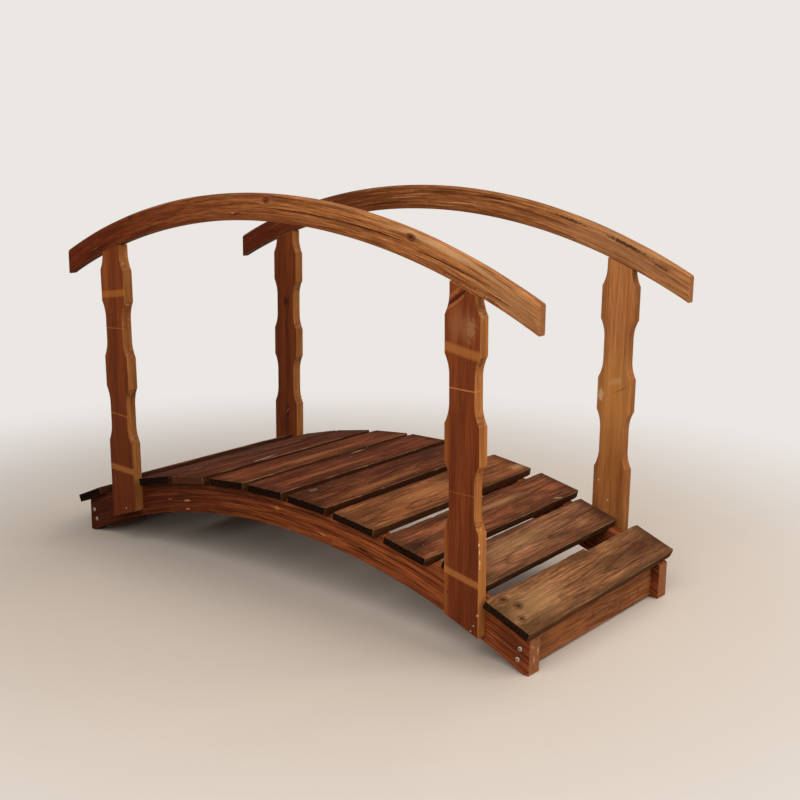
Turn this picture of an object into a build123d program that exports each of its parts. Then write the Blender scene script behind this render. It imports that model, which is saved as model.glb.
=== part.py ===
"""Wooden moon bridge: two sawn arches carry a boarded deck and two arched handrails on scalloped posts."""
import math
import os

from build123d import *

# Lengths are in millimetres and angles in degrees.
# X runs along the bridge, Y across it from front to back, Z up from the floor.

# Arched stringers under the deck
stringer_length = 1400
stringer_spread = 580  # outer face to outer face
stringer_thickness = 38
stringer_height = 233  # floor to the crown of the upper arc
stringer_end_height = 82
hollow_height = 160  # floor to the crown of the lower arc
foot_length = 14  # flat that stands on the floor at each end

# Crossbars between the stringers, one behind each end
crossbar_thickness = 20
crossbar_height = 70
crossbar_setback = 20  # from the stringer's end to the crossbar's outer face
crossbar_lift = 5  # from the floor

# Deck boards, laid from the left end
board_width = 116
board_thickness = 18
board_gap = 18
board_front_overhang = 20  # past the front stringer's outer face
board_back_overhang = 31  # past the back stringer's outer face
board_end_overhang = 24  # past the left end of the arch
board_skew = 1.1  # of the boards to the line square across the bridge
short_board_setback = 16  # from the front stringer's outer face to a short board's end
board_end_clearance = 1  # from a short board's end to the back post
board_step_start = 82  # from the middle line back to the step in a board's left edge
board_width_shares = (0.86, 1.04, 1.02, 1.04, 0.99, 0.97, 1.0, 1.03, 1.0, 0.98, 1.034)
board_thickness_shares = (1.1, 1.55, 1.1, 1.08, 1.05, 1.04, 1.0, 0.98, 1.0, 1.0, 1.0)
board_gap_shares = (0.96, 1.43, 0.33, 1.01, 0.70, 0.82, 1.04, 1.31, 0.775, 1.268)
board_step_shares = (0, 0, 0, 0, 0, 0, 0, 0, 0, 0.043, 0.075)  # of the width, cut back past the step

# Scalloped posts on the outer faces of the stringers
post_setback = 164  # from the stringer's end to the post's middle, at the rail
post_width = 86
post_thickness = 28
post_base = 276  # floor to the start of the lowest scallop
post_foot_margin = 16  # from the arch's lower edge up to the post's foot
front_post_lean = 1.2
scallop_depth = 11.5
scallop_ramp = 43  # length of each end sweep
scallop_flat = 54  # length of the straight middle
lobe_length = 77  # between two scallops
scallop_count = 3

# Arched handrails on the heads of the posts
rail_overhang = 10.5  # past the stringer's end
rail_thickness = 23
rail_height = 920  # floor to the crown of the upper arc
rail_rise = 170  # of the upper arc
rail_depth = 60  # at the crown
rail_end_depth = 62

# Fits
seat_clearance = 0.3  # between a curved face and what rests on it
overrun = 20  # of cutting shapes past what they cut


def arc_radius(half_span, rise):
    """Radius of an arc, from half its span and its rise."""
    return (half_span**2 + rise**2) / (2 * rise)


def arc_over(half_span, end_height, crown_height):
    """Arc from the left end over the crown to the right end."""
    return ThreePointArc((-half_span, end_height), (0, crown_height), (half_span, end_height))


def plank(face, near_y, thickness):
    """Upright plank: an outline drawn in X and Z, given its thickness along Y."""
    return Pos(0, near_y, 0) * extrude(Plane.XZ * face, amount=thickness, dir=(0, 1, 0))


def disc(radius, centre_height):
    """Solid disc across the whole bridge, about an axis along Y."""
    return Pos(0, 0, centre_height) * Rot(90, 0, 0) * Cylinder(radius, bridge_width + overrun)


# Worked-out sizes
half_stringer = stringer_length / 2
post_offset = half_stringer - post_setback
stringer_face_y = stringer_spread / 2
bridge_width = stringer_spread + 2 * post_thickness

arch_radius = arc_radius(half_stringer, stringer_height - stringer_end_height)
arch_centre = stringer_height - arch_radius
hollow_half_span = half_stringer - foot_length
hollow_radius = arc_radius(hollow_half_span, hollow_height)
hollow_centre = hollow_height - hollow_radius

half_rail = half_stringer + rail_overhang
rail_end_height = rail_height - rail_rise
rail_under_crown = rail_height - rail_depth
rail_under_end = rail_end_height - rail_end_depth
rail_under_radius = arc_radius(half_rail, rail_under_crown - rail_under_end)
rail_under_centre = rail_under_crown - rail_under_radius
rail_seat_height = rail_under_centre + math.sqrt(rail_under_radius**2 - post_offset**2)


def stringer_outline():
    """Side view of a stringer."""
    left_toe = (-hollow_half_span, 0)
    right_toe = (hollow_half_span, 0)
    upper = arc_over(half_stringer, stringer_end_height, stringer_height)
    lower = arc_over(hollow_half_span, 0, hollow_height)
    left_end = Polyline((-half_stringer, stringer_end_height), (-half_stringer, 0), left_toe)
    right_end = Polyline((half_stringer, stringer_end_height), (half_stringer, 0), right_toe)
    return make_face(upper + left_end + lower + right_end)


def handrail_outline():
    """Side view of a handrail."""
    upper = arc_over(half_rail, rail_end_height, rail_height)
    lower = arc_over(half_rail, rail_under_end, rail_under_crown)
    left_end = Line((-half_rail, rail_end_height), (-half_rail, rail_under_end))
    right_end = Line((half_rail, rail_end_height), (half_rail, rail_under_end))
    return make_face(upper + left_end + lower + right_end)


def scallop_outline():
    """Scallop in the right edge of a post: end sweeps run out of a straight middle."""
    half_flat = scallop_flat / 2
    half_mouth = half_flat + scallop_ramp
    middle = Line((-scallop_depth, -half_flat), (-scallop_depth, half_flat))
    upper = TangentArc((-scallop_depth, half_flat), (0, half_mouth), tangent=(0, 1))
    lower = TangentArc((-scallop_depth, -half_flat), (0, -half_mouth), tangent=(0, -1))
    outside = Polyline((0, half_mouth), (overrun, half_mouth), (overrun, -half_mouth), (0, -half_mouth))
    return make_face(middle + upper + outside + lower)


def post_outline():
    """Front view of a post's plank before its ends are trimmed."""
    blank = Pos(0, rail_height / 2) * Rectangle(post_width, rail_height)
    mouth = scallop_flat + 2 * scallop_ramp
    right_scallop = Pos(post_width / 2, 0) * scallop_outline()
    left_scallop = mirror(right_scallop, about=Plane.YZ)
    for count in range(scallop_count):
        middle = post_base + mouth / 2 + count * (mouth + lobe_length)
        blank -= Pos(0, middle) * right_scallop
        blank -= Pos(0, middle) * left_scallop
    return blank


def post(place_x, near_y, lean):
    """Post that leans about its head, trimmed to the handrail above and the arch below."""
    upright = plank(post_outline(), near_y, post_thickness)
    head = Pos(place_x, 0, rail_seat_height)
    leaning = head * Rot(0, -lean, 0) * Pos(0, 0, -rail_seat_height) * upright
    headed = leaning & disc(rail_under_radius - seat_clearance, rail_under_centre)
    return headed - disc(hollow_radius + post_foot_margin, hollow_centre)


def meets_post(centre_x, half_width):
    """True where a full board would run into one of the posts."""
    arch_at_post = arch_centre + math.sqrt(arch_radius**2 - post_offset**2)
    lean_shift = (rail_seat_height - arch_at_post) * math.tan(math.radians(front_post_lean))
    skew_shift = stringer_face_y * math.tan(math.radians(board_skew))
    reach = half_width + post_width / 2 + board_end_clearance
    for post_x in (-post_offset, post_offset):
        front_distance = abs(centre_x + skew_shift - post_x - lean_shift)
        back_distance = abs(centre_x - skew_shift - post_x)
        if min(front_distance, back_distance) < reach:
            return True
    return False


def deck_board(width, thickness, step_depth, is_short):
    """One board on its seat plane: full across the bridge, or short between two posts."""
    skew = math.radians(board_skew)
    front_reach = stringer_face_y + board_front_overhang
    back_reach = stringer_face_y + board_back_overhang
    if is_short:
        corner_lead = width / 2 * math.sin(skew)
        front_reach = (stringer_face_y - short_board_setback) / math.cos(skew)
        back_reach = (stringer_face_y - board_end_clearance - corner_lead) / math.cos(skew)
    lowest = (Align.CENTER, Align.CENTER, Align.MIN)
    blank = Box(width, front_reach + back_reach, thickness, align=lowest)
    board = Pos(0, (back_reach - front_reach) / 2, 0) * blank
    if step_depth:
        step_length = back_reach - board_step_start + overrun
        left_of_step = (Align.MAX, Align.MIN, Align.MIN)
        cut = Box(step_depth + overrun, step_length, thickness + 2 * overrun, align=left_of_step)
        board -= Pos(step_depth - width / 2, board_step_start, -overrun) * cut
    return Rot(0, 0, board_skew) * board


def deck_boards():
    """Flat boards along the arch, cut short where they lie between two posts."""
    half_angle = math.asin(half_stringer / arch_radius)
    run = 2 * half_angle * arch_radius + board_end_overhang
    count = round((run + board_gap) / (board_width + board_gap))
    widths = [board_width * board_width_shares[i % len(board_width_shares)] for i in range(count)]
    heights = [board_thickness_shares[i % len(board_thickness_shares)] for i in range(count)]
    steps = [board_step_shares[i % len(board_step_shares)] for i in range(count)]
    gaps = [board_gap_shares[i % len(board_gap_shares)] for i in range(count - 1)]
    gap_unit = (run - sum(widths)) / sum(gaps)
    start = -half_angle * arch_radius - board_end_overhang
    boards = []
    for i, width in enumerate(widths):
        turn = (start + width / 2) / arch_radius
        is_short = meets_post(arch_radius * math.sin(turn), width / 2 * math.cos(turn))
        seat = Rot(0, math.degrees(turn), 0) * Pos(0, 0, arch_radius + seat_clearance)
        board = deck_board(width, board_thickness * heights[i], width * steps[i], is_short)
        boards.append(Pos(0, 0, arch_centre) * seat * board)
        if i < len(gaps):
            start += width + gap_unit * gaps[i]
    return boards


def crossbar(side):
    """Crossbar between the stringers, at the left (-1) or right (1) end."""
    length = stringer_spread - 2 * stringer_thickness
    place_x = half_stringer - crossbar_setback - crossbar_thickness / 2
    bar = Box(crossbar_thickness, length, crossbar_height, align=(Align.CENTER, Align.CENTER, Align.MIN))
    return Pos(side * place_x, 0, crossbar_lift) * bar


rail_near_y = stringer_face_y + (post_thickness - rail_thickness) / 2

pieces = {
    "front_stringer": plank(stringer_outline(), -stringer_face_y, stringer_thickness),
    "back_stringer": plank(stringer_outline(), stringer_face_y - stringer_thickness, stringer_thickness),
    "left_crossbar": crossbar(-1),
    "right_crossbar": crossbar(1),
    "front_left_post": post(-post_offset, -stringer_face_y - post_thickness, front_post_lean),
    "front_right_post": post(post_offset, -stringer_face_y - post_thickness, front_post_lean),
    "back_left_post": post(-post_offset, stringer_face_y, 0),
    "back_right_post": post(post_offset, stringer_face_y, 0),
    "front_handrail": plank(handrail_outline(), -rail_near_y - rail_thickness, rail_thickness),
    "back_handrail": plank(handrail_outline(), rail_near_y, rail_thickness),
}
for number, board in enumerate(deck_boards(), start=1):
    pieces[f"deck_board_{number:02d}"] = board

# The origin lies on the floor under the middle of the overall length and width
boxes = [piece.bounding_box() for piece in pieces.values()]
middle_x = (min(box.min.X for box in boxes) + max(box.max.X for box in boxes)) / 2
middle_y = (min(box.min.Y for box in boxes) + max(box.max.Y for box in boxes)) / 2

os.makedirs("parts", exist_ok=True)
for name, piece in pieces.items():
    export_step(Pos(-middle_x, -middle_y, 0) * piece, f"parts/{name}.step")
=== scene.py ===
"""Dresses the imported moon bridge: stained pine timbers, weathered deck boards, screws and nail marks."""
import math
from functools import partial
from typing import NamedTuple

import bmesh
import bpy
from mathutils import Matrix, Vector, noise


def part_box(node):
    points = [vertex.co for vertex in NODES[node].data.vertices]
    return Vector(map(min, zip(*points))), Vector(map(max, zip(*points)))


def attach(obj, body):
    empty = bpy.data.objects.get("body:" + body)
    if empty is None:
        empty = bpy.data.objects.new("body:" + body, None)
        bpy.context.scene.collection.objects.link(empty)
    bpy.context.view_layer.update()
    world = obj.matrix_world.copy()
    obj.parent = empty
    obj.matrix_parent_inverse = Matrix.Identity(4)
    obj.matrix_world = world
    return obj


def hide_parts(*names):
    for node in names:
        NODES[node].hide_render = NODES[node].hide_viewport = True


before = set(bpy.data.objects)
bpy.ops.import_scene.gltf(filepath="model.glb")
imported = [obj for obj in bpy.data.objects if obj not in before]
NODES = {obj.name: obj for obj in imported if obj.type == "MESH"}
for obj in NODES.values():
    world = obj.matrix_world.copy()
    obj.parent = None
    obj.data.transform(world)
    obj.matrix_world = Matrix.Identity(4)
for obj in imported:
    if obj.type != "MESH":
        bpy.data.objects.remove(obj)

bl_info = {
    "name": "Moon Bridge",
    "version": (1, 0, 0),
    "blender": (4, 5, 0),
    "location": "View3D > Sidebar > Moon Bridge",
    "description": "Wood finishes, worn boards and fixings of a small garden moon bridge",
    "category": "Object",
}

MM = 0.001

# Kinds and settings of nodes that recur
MATH = "ShaderNodeMath"
VECTOR = "ShaderNodeVectorMath"
RANGE = "ShaderNodeMapRange"
MIX = "ShaderNodeMix"
MAPPING = "ShaderNodeMapping"
SMOOTH = {"interpolation_type": "SMOOTHSTEP"}
COLOURS = {"data_type": "RGBA"}


class Mark(NamedTuple):
    """Spot on a timber, its middle and reach in millimetres along the grain, across it and through it.

    The turn is in degrees. Its rim wanders by the ragged share of its reach and fades over the soft one.
    """

    middle: tuple
    reach: tuple
    colour: str
    strength: float = 0.7
    turn: float = 0.0
    ragged: float = 0.5
    soft: float = 0.3


class Knot(NamedTuple):
    """Knot in a timber: its middle and size in millimetres."""

    middle: tuple
    size: float


def linear(hex_colour):
    """Linear RGBA of an sRGB hex colour."""
    channels = [int(hex_colour[i : i + 2], 16) / 255 for i in (1, 3, 5)]
    bent = [c / 12.92 if c <= 0.04045 else ((c + 0.055) / 1.055) ** 2.4 for c in channels]
    return (*bent, 1.0)


def shade(colour, share):
    """A linear colour made lighter or darker."""
    return (*(min(1.0, c * share) for c in colour[:3]), 1.0)


def add(tree, kind, inputs=(), **settings):
    """Adds a node with its settings, and sets or links its inputs, given in order or by key.

    An input is a value, a socket, or a node, whose first active output is linked.
    """
    node = tree.nodes.new(kind)
    for name, value in settings.items():
        setattr(node, name, value)
    for key, value in inputs.items() if isinstance(inputs, dict) else enumerate(inputs):
        if isinstance(value, bpy.types.Node):
            value = next(socket for socket in value.outputs if socket.enabled)
        if isinstance(value, bpy.types.NodeSocket):
            tree.links.new(value, node.inputs[key])
        else:
            node.inputs[key].default_value = value
    return node


def new_material(name):
    """New material, its node tree and its shader."""
    material = bpy.data.materials.new(name)
    material.use_nodes = True
    return material, material.node_tree, material.node_tree.nodes["Principled BSDF"]


def colour_property(name, description, hex_colour):
    """Colour that a user may change, from an sRGB hex value."""
    return bpy.props.FloatVectorProperty(
        name=name, description=description, subtype="COLOR", size=4, min=0, max=1, default=linear(hex_colour)
    )


def length_property(name, description, millimetres):
    """Length that a user may change, from a size in millimetres."""
    return bpy.props.FloatProperty(
        name=name, description=description, subtype="DISTANCE", unit="LENGTH", min=0, default=millimetres * MM
    )


def power_property(name, description, watts):
    """Power of a lamp that a user may change."""
    return bpy.props.FloatProperty(name=name, description=description, unit="POWER", min=0, default=watts)


class MoonBridgeFinish(bpy.types.PropertyGroup):
    """Colours of the timbers and screws."""

    rail_pale: colour_property("Rail pale", "Early wood of the oiled handrails", "#c5864e")
    rail_dark: colour_property("Rail dark", "Late wood and streaks of the handrails", "#93512f")
    post_pale: colour_property("Post pale", "Early wood of the stained posts", "#844321")
    post_dark: colour_property("Post dark", "Late wood of the stained posts", "#5e2814")
    honey_pale: colour_property("Honey pale", "Early wood of the post that took little stain", "#c0824d")
    honey_dark: colour_property("Honey dark", "Late wood of the post that took little stain", "#9b5b28")
    edge_pale: colour_property("Edge pale", "Sawn edges that took little stain", "#b87a42")
    edge_dark: colour_property("Edge dark", "Late wood of the sawn edges", "#8a4e24")
    stringer_pale: colour_property("Arch pale", "Early wood of the arches", "#a45a30")
    stringer_dark: colour_property("Arch dark", "Late wood of the arches", "#75391f")
    crossbar_pale: colour_property("Crossbar pale", "Early wood of the crossbars", "#ac6f43")
    crossbar_dark: colour_property("Crossbar dark", "Late wood of the crossbars", "#814a2a")
    board_worn: colour_property("Board worn", "Rubbed places on the deck boards", "#a27a55")
    board_side: colour_property("Board side", "Sawn sides of the deck boards", "#85502a")
    # Dark end grain with painted shade that turns the boards' ends near black
    board_end_grain_and_shade: colour_property("Board end", "Dark sawn ends of the deck boards", "#0f0806")
    end_grain: colour_property("End grain", "Rough sawn ends", "#95633f")
    zinc: colour_property("Zinc", "Plating of the screw heads", "#cfc6b8")


class MoonBridgeSizes(bpy.types.PropertyGroup):
    """Sizes of the small shapes."""

    rail_round: length_property("Rail edge", "Rounding of the handrails' upper edges", 8)
    rail_under_round: length_property("Rail underside", "Rounding of the handrails' lower edges", 3)
    post_round: length_property("Post edge", "Rounding of the posts' edges", 1.5)
    stringer_round: length_property("Arch edge", "Rounding of the arches' edges", 2)
    board_round: length_property("Board edge", "Rounding of the worn deck boards", 2.5)
    screw_head: length_property("Screw head", "Diameter of a countersunk head", 10)


class MoonBridgeStage(bpy.types.PropertyGroup):
    """Floor, light and camera."""

    floor_colour: colour_property("Floor", "Plain pale floor", "#c8bdb2")
    backdrop: colour_property("Backdrop", "Plain pale backdrop", "#ebe7e3")
    key_power: power_property("Key", "Power of the key light", 112)
    fill_power: power_property("Fill", "Power of the fill light", 120)
    back_power: power_property("Back", "Power of the back light", 55)
    ambient: bpy.props.FloatProperty(name="Ambient", description="Strength of the even light", default=0.14)
    lens: bpy.props.FloatProperty(name="Lens", description="Focal length", unit="CAMERA", default=54.99)


def arc_of(node, rise):
    """Centre, as (x, z), and radius of the arc along a node's upper edge."""
    low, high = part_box(node)
    half_span = (high.x - low.x) / 2
    radius = (half_span**2 + rise**2) / (2 * rise)
    return ((low.x + high.x) / 2, high.z - radius), radius


STEP_MARGIN = 20 * MM  # a corner further than this from a board's ends belongs to its step
SQUARE_FACING = 0.8  # least share of a normal that makes a face an underside or a right side


def facing_direction(mesh, way):
    """Average direction of a mesh's faces that look about this way."""
    faces = [p.normal * p.area for p in mesh.polygons if p.normal.dot(way) > SQUARE_FACING]
    return sum(faces, Vector()).normalized()


def board_frame(node):
    """Middle of a deck board, its directions along, across and down, half its sizes, and its step.

    The step is where its left edge is cut back and by how much, or None.
    """
    mesh = NODES[node].data
    down = facing_direction(mesh, Vector((0, 0, -1)))
    across = facing_direction(mesh, Vector((1, 0, 0)))
    axes = (across.cross(down).normalized(), across, down)
    points = [[v.co.dot(axis) for axis in axes] for v in mesh.vertices]
    lows = [min(column) for column in zip(*points)]
    highs = [max(column) for column in zip(*points)]
    halves = [(high - low) / 2 for low, high in zip(lows, highs)]
    middle = sum((axis * (low + high) / 2 for axis, low, high in zip(axes, lows, highs)), Vector())
    inner = [p for p in points if lows[0] + STEP_MARGIN < p[0] < highs[0] - STEP_MARGIN]
    step = None
    if inner:
        start = inner[0][0] - (lows[0] + highs[0]) / 2
        step = (start, max(p[1] for p in inner) - lows[1])
    return middle, axes, halves, step


def straight_grain(tree, origin, axes):
    """Place in a straight timber, in metres along the grain, across it and through it, and its directions."""
    spot = add(tree, "ShaderNodeTexCoord").outputs["Object"]
    inputs = {"Vector": spot, "Location": origin, "Rotation": Matrix(axes).transposed().to_euler()}
    place = add(tree, MAPPING, inputs, vector_type="TEXTURE")
    return place, [tuple(axis) for axis in axes]


def arched_grain(tree, node, rise, offset):
    """Place in an arched timber, in metres along the arch, outward and through it, and its directions.

    Outward is counted from a line that lies this offset under the upper edge.
    """
    low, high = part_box(node)
    (centre_x, centre_z), radius = arc_of(node, rise)
    spot = add(tree, "ShaderNodeTexCoord").outputs["Object"]
    away = add(tree, VECTOR, (spot, (centre_x, (low.y + high.y) / 2, centre_z)), operation="SUBTRACT")
    parts = add(tree, "ShaderNodeSeparateXYZ", (away,)).outputs
    angle = add(tree, MATH, (parts["X"], parts["Z"]), operation="ARCTAN2")
    along = add(tree, MATH, (angle, radius), operation="MULTIPLY")
    flat = add(tree, VECTOR, (away, (1, 0, 1)), operation="MULTIPLY")
    reach = add(tree, VECTOR, (flat,), operation="LENGTH")
    across = add(tree, MATH, (reach, radius - offset), operation="SUBTRACT")
    outward = add(tree, VECTOR, (flat,), operation="NORMALIZE")
    tangent = add(tree, VECTOR, ((0, 1, 0), outward), operation="CROSS_PRODUCT")
    place = add(tree, "ShaderNodeCombineXYZ", (along, across, parts["Y"]))
    return place, [tangent, outward, (0, 1, 0)]


def cloudy(tree, place, sizes, seed, detail=4.0, roughness=0.58):
    """Cloudy pattern whose patches have these sizes, in millimetres, along, across and through the timber."""
    apart = (seed, seed * 0.37 + 2.1, seed * 0.73 - 1.3)
    inputs = {"Vector": place, "Location": apart, "Scale": [1 / (size * MM) for size in sizes]}
    inputs = {"Vector": add(tree, MAPPING, inputs), "Scale": 1, "Detail": detail, "Roughness": roughness}
    return add(tree, "ShaderNodeTexNoise", inputs).outputs["Fac"]


def spot_distance(tree, place, middle, reach, turn=0.0):
    """Distance from a spot's middle, 1 at its rim: middle and reach in millimetres, turn in degrees."""
    inputs = {"Vector": place, "Location": [v * MM for v in middle], "Scale": [v * MM for v in reach]}
    inputs["Rotation"] = (0, 0, math.radians(turn))
    near = add(tree, MAPPING, inputs, vector_type="TEXTURE")
    return add(tree, VECTOR, (near,), operation="LENGTH")


def sees_backdrop(tree):
    """1 for rays from the camera, off gloss or through glass, which all show the pale backdrop."""
    rays = add(tree, "ShaderNodeLightPath").outputs
    seen = rays["Is Camera Ray"]
    for kind in ("Is Glossy Ray", "Is Transmission Ray"):
        seen = add(tree, MATH, (seen, rays[kind]), operation="MAXIMUM")
    return seen


# Levels of the cloudy patterns, 0 to 1, at which each effect starts and is full
STREAK_LEVELS = (0.42, 0.6)
TICK_LEVELS = (0.4, 0.66)
TONE_LEVELS = (0.32, 0.68)
BROKEN_LEVELS = (0.44, 0.6)
TORN_LEVELS = (0.4, 0.6)
FLECK_LEVELS = (0.52, 0.66)
END_LEVELS = (0.3, 0.6)
RIM_LEVELS = (0.9, 1.9)
BLOTCH_LEVEL = 0.62  # with a share of none
WEAR_LEVEL = 0.66  # with a share of none
SHARE_DROP = 0.24  # of these two, with a share of all
WEAR_RISE = 0.18  # from the start of wear to bare wood

# How squarely a face looks along the grain, or through the timber, where each effect starts and is full
ARRIS_FACING = (0.8, 0.97)
END_FACING = (0.72, 0.85)
SLOPE_FACING = (0.12, 0.3)
FLAT_FACING = (0.5, 0.85)

# Sizes in millimetres, along, across and through the timber
CRUMB_SIZES = (7, 3.5, 3.5)
SAW_MARK_SIZES = (3.5, 60, 16)
SPECK_RADII = (0.5, 1.3)  # of its solid middle and of its rim
GRAIN_DEPTH = 0.8

KNOT_PULL = 0.85  # of the fibres, at a knot's middle
KNOT_PULL_SHARES = (4.5, 2.6, 2.6)  # reach of the pull, in knot sizes
KNOT_SHARES = (1.25, 0.95, 2)  # reach of the knot itself, in knot sizes
KNOT_RAGGED = 0.7
RING_TAPER = 0.06  # drift of the rings along the grain
WAVE_PERIOD = math.tau / 20  # of a wave texture of scale 1
SAWN_STRENGTH = 0.6
WORN_ROUGHNESS = 0.2  # added where the stain wore off
LATE_RELIEF = 0.35  # share of the late wood in the relief, the rest is fibres
PINE_IOR = 1.5  # of an oiled or stained surface
DUST = "#cdb498"
KNOT_CORE = "#2c140c"


def bend_round_knots(tree, place, knots):
    """Place in a timber whose fibres part around its knots."""
    bent = place
    for knot in knots:
        far = spot_distance(tree, place, knot.middle, [knot.size * share for share in KNOT_PULL_SHARES])
        pull = add(tree, RANGE, (far, 0, 1, KNOT_PULL, 0), **SMOOTH)
        away = add(tree, VECTOR, (place, [v * MM for v in knot.middle]), operation="SUBTRACT")
        aside = add(tree, VECTOR, (away, (0, 1, 0.4)), operation="MULTIPLY")
        shift = add(tree, VECTOR, {0: aside, "Scale": pull}, operation="SCALE")
        bent = add(tree, VECTOR, (bent, shift), operation="SUBTRACT")
    return bent


def wandering(tree, place, look):
    """Place in a timber whose fibres wander slowly."""
    inputs = {"Vector": place, "Location": (look["seed"], 0.4 * look["seed"], 0)}
    inputs["Scale"] = [1 / (v * MM) for v in look["wander"]]
    slow = add(tree, MAPPING, inputs)
    drift = add(tree, "ShaderNodeTexNoise", {"Vector": slow, "Scale": 1, "Detail": 2}).outputs["Color"]
    centred = add(tree, VECTOR, (drift, (0.5, 0.5, 0.5)), operation="SUBTRACT")
    sway = look["sway"] * MM
    moved = add(tree, VECTOR, (centred, (0, sway, sway)), operation="MULTIPLY")
    return add(tree, VECTOR, (place, moved), operation="ADD")


def late_wood(tree, place, look):
    """Late wood of the growth rings, 0 to 1, about a pith that lies outside the timber."""
    pith = (0, -look["pith"][0] * MM, -look["pith"][1] * MM)
    lean = (0, *(math.radians(angle) for angle in look["lean"]))
    ringed = add(tree, MAPPING, {"Vector": place, "Location": pith, "Rotation": lean})
    slim = add(tree, VECTOR, (ringed, (RING_TAPER, 1, 1)), operation="MULTIPLY")
    inputs = {"Vector": slim, "Scale": WAVE_PERIOD / (look["ring"] * MM), "Distortion": look["ring_wobble"]}
    inputs.update({"Detail": 2, "Detail Scale": 0.6, "Detail Roughness": 0.6})
    settings = {"wave_type": "RINGS", "rings_direction": "X", "wave_profile": "SAW"}
    rings = add(tree, "ShaderNodeTexWave", inputs, **settings).outputs["Fac"]
    return add(tree, RANGE, (rings, look["late"], 0.97), **SMOOTH)


def facing(tree, directions):
    """How squarely the surface faces along each of these directions, 0 to 1."""
    normal = add(tree, "ShaderNodeNewGeometry").outputs["Normal"]
    faces = []
    for direction in directions:
        dot = add(tree, VECTOR, (normal, direction), operation="DOT_PRODUCT")
        faces.append(add(tree, MATH, (dot,), operation="ABSOLUTE"))
    return faces


def rubbed_arrises(tree, faces, crumbs, scuffs, strength):
    """Share of wear along the edges where faces meet, ragged and broken."""
    squarest = faces[0]
    for face in faces[1:]:
        squarest = add(tree, MATH, (squarest, face), operation="MAXIMUM")
    ragged = add(tree, MATH, (crumbs, 0.3, -0.15), operation="MULTIPLY_ADD")
    rubbed = add(tree, MATH, (squarest, ragged), operation="SUBTRACT")
    arris = add(tree, RANGE, (rubbed, *ARRIS_FACING, strength, 0), **SMOOTH)
    broken = add(tree, RANGE, (scuffs, *BROKEN_LEVELS, 0.1, 1), **SMOOTH)
    return add(tree, MATH, (arris, broken), operation="MULTIPLY")


def sawn_edges(tree, look, place, ground, crumbs, end_face):
    """Colour of the paler sawn edges, rough and flecked where they sweep across the fibres."""
    colour = add(tree, MIX, {0: ground, 6: look["edge_pale"], 7: look["edge_dark"]}, **COLOURS)
    slope = add(tree, RANGE, (end_face, *SLOPE_FACING, 0, SAWN_STRENGTH), **SMOOTH)
    saw_marks = cloudy(tree, place, SAW_MARK_SIZES, look["seed"] + 2.2, 3, 0.6)
    layers = ((saw_marks, TORN_LEVELS, look["dark"]), (crumbs, FLECK_LEVELS, look["worn"]))
    for pattern, levels, over in layers:
        torn = add(tree, RANGE, (pattern, *levels), **SMOOTH)
        share = add(tree, MATH, (torn, slope), operation="MULTIPLY")
        colour = add(tree, MIX, {0: share, 6: colour, 7: over}, **COLOURS)
    return colour


def gathered_stain(tree, rim, place, patches):
    """Share of the stain that gathers towards a board's sides and ends."""
    half_length, half_width, deep, strength = rim
    parts = add(tree, "ShaderNodeSeparateXYZ", (place,)).outputs
    along = add(tree, MATH, (parts["X"],), operation="ABSOLUTE")
    across = add(tree, MATH, (parts["Y"],), operation="ABSOLUTE")
    by_end = add(tree, RANGE, (along, half_length - 3 * deep, half_length), **SMOOTH)
    by_side = add(tree, RANGE, (across, half_width - deep, half_width), **SMOOTH)
    nearest = add(tree, MATH, (by_end, by_side), operation="MAXIMUM")
    uneven = add(tree, MATH, (patches, 1.6, nearest), operation="MULTIPLY_ADD")
    return add(tree, RANGE, (uneven, *RIM_LEVELS, 0, strength), **SMOOTH)


def ground_wood(tree, look, place, bent, late):
    """Share of dark wood, and the colour of early and late wood, stained deeper towards one end."""
    clouds = cloudy(tree, bent, look["tone"], look["seed"] + 3.1)
    tone = add(tree, RANGE, (clouds, *TONE_LEVELS), **SMOOTH)
    rings = add(tree, MATH, (late, look["ring_show"]), operation="MULTIPLY")
    mottled = add(tree, MATH, (tone, look["tone_show"], rings), operation="MULTIPLY_ADD")
    ground = add(tree, MATH, (mottled, 1), operation="MINIMUM")
    colour = add(tree, MIX, {0: ground, 6: look["pale"], 7: look["dark"]}, **COLOURS)
    if "fade" in look:
        start, stop, strength, deep_stain = look["fade"]
        along = add(tree, "ShaderNodeSeparateXYZ", (place,)).outputs["X"]
        share = add(tree, RANGE, (along, start * MM, stop * MM, strength, 0), **SMOOTH)
        colour = add(tree, MIX, {0: share, 6: colour, 7: linear(deep_stain)}, **COLOURS)
    return ground, colour


def draw_stain(tree, colour, look, place, fibre_place, fibres, patches):
    """Lays fibre streaks, short ticks of weathered grain and sunk stain over a colour.

    Streaks and ticks are drawn a few millimetres wide so that they show.
    """
    streak = add(tree, RANGE, (fibres, *STREAK_LEVELS, 0, look["fibre_show"]), **SMOOTH)
    ticks = cloudy(tree, fibre_place, look["grit"], look["seed"] + 9.4, 5, 0.7)
    grit = add(tree, RANGE, (ticks, *TICK_LEVELS, 0, look["grit_show"]), **SMOOTH)
    for share in (streak, grit):
        colour = add(tree, MIX, {0: share, 6: colour, 7: look["streak"]}, blend_type="MULTIPLY", **COLOURS)
    level = BLOTCH_LEVEL - SHARE_DROP * look["blotch_share"]
    levels = (level - look["blotch_soft"], level + look["blotch_soft"])
    shares = [add(tree, RANGE, (patches, *levels, 0, look["blotch_show"]), **SMOOTH)]
    if "rim" in look:
        shares.append(gathered_stain(tree, look["rim"], place, patches))
    for share in shares:
        colour = add(tree, MIX, {0: share, 6: colour, 7: look["stain"]}, **COLOURS)
    return colour


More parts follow.
